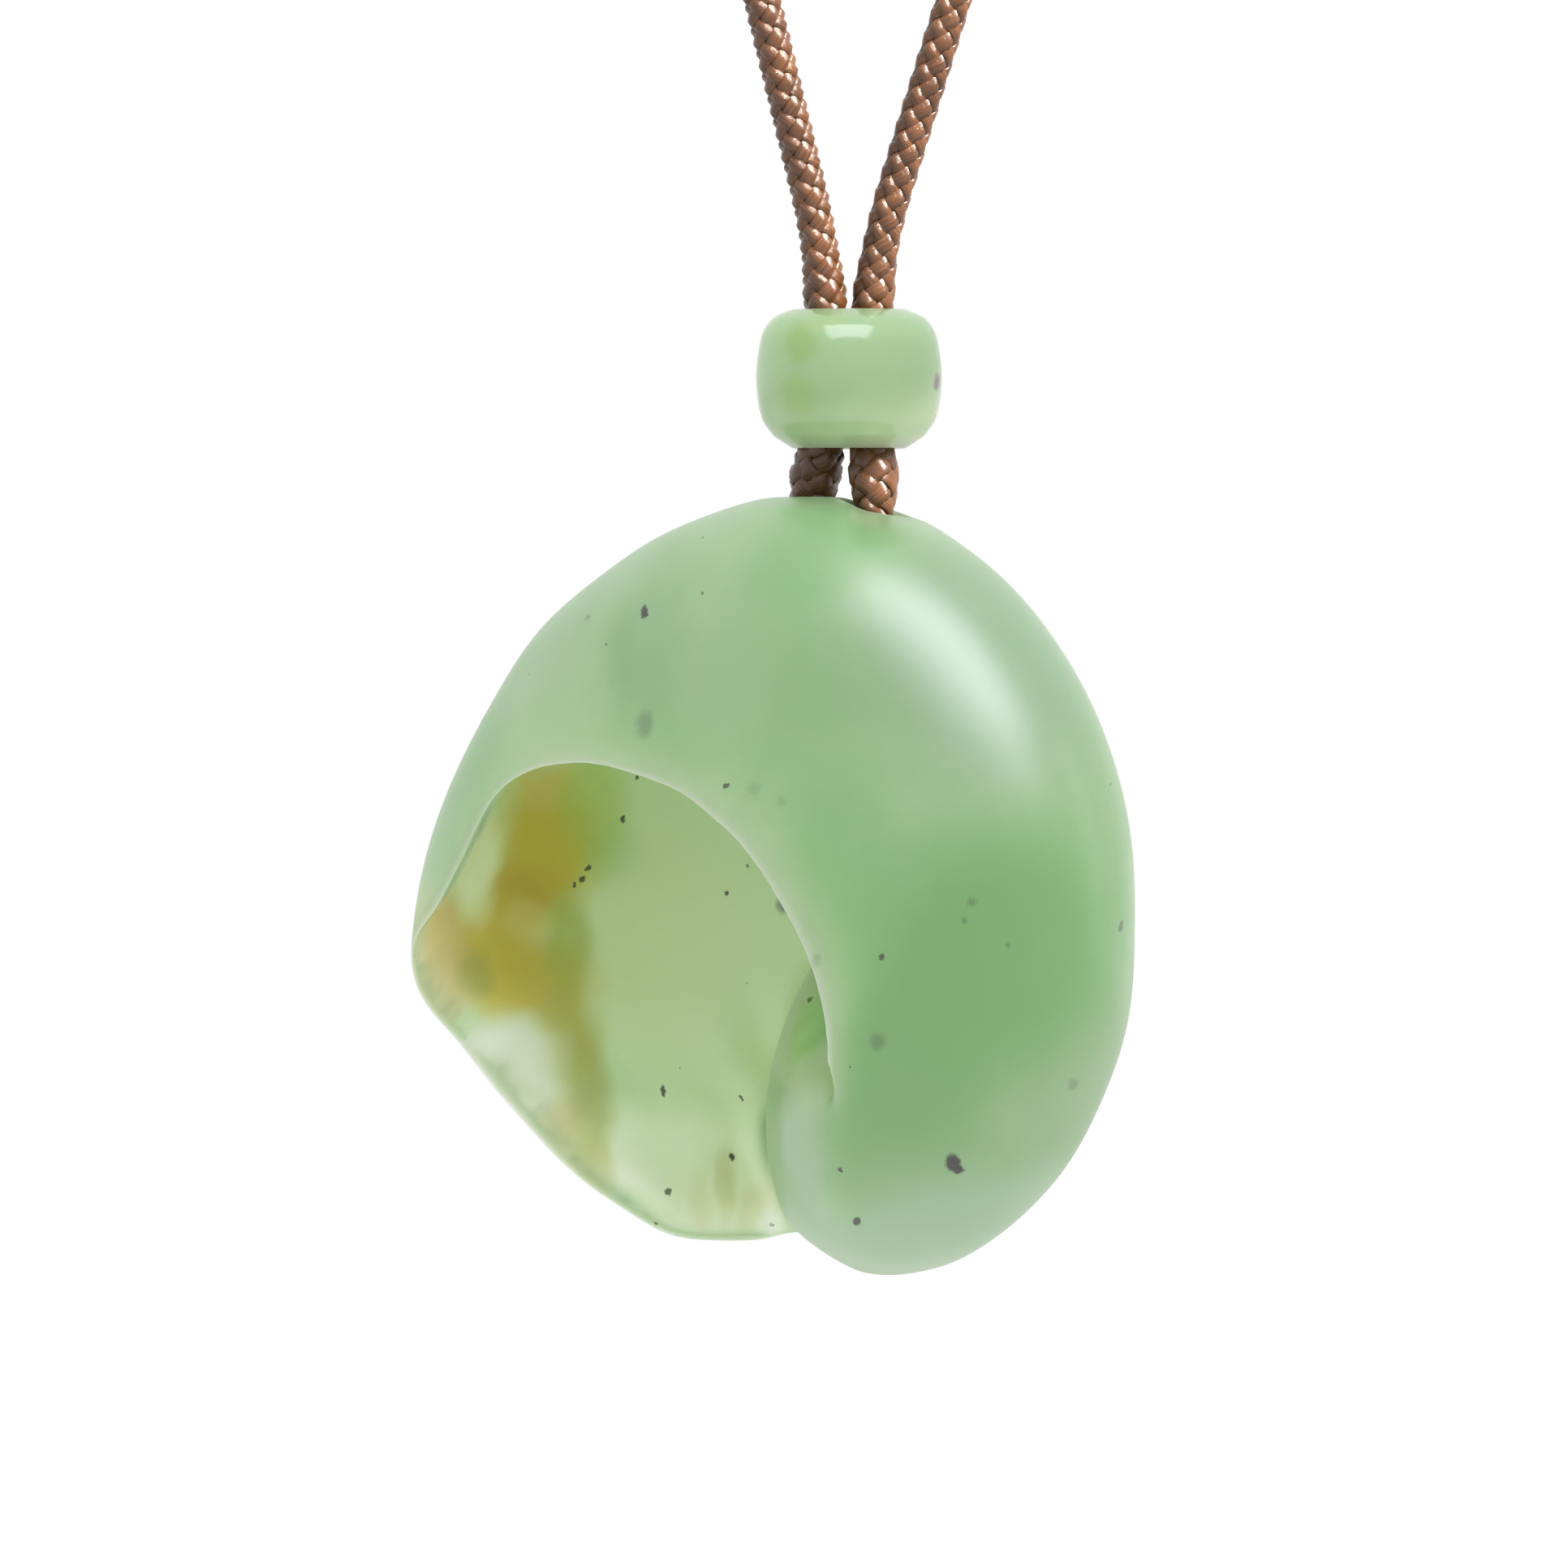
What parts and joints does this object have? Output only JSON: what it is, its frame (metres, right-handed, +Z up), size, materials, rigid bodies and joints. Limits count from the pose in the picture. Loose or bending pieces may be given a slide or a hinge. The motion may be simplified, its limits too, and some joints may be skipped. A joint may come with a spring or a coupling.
{
  "type": "jade seashell pendant",
  "caption": "Hollow carved jade seashell hanging under a jade barrel bead from a closed loop of brown braided cord.",
  "frame": {"origin": "middle of the cord at the top of the loop, where the nape of the neck holds it", "axes": "+Z up, the shell's face looks along -Y, +X to the viewer's right"},
  "size_m": [0.1168, 0.0242, 0.318],
  "materials": {
    "shell_jade": "satin polished pale green nephrite",
    "bead_jade": "polished pale green nephrite",
    "braided_cord": "brown round braided nylon"
  },
  "bodies": {
    "cord": {"neck_cord": "braided_cord", "nape_cord": "braided_cord", "knot": "braided_cord", "bead": "bead_jade"},
    "shell": {"shell": "shell_jade"}
  },
  "joints": [
    {"name": "shell_swing", "type": "hinge", "parent": "cord", "child": "shell", "pos_m": [-0.00675, 0, -0.28373], "axis": [0.7314, -0.682, 0], "range_deg": [-10, 10]}
  ]
}
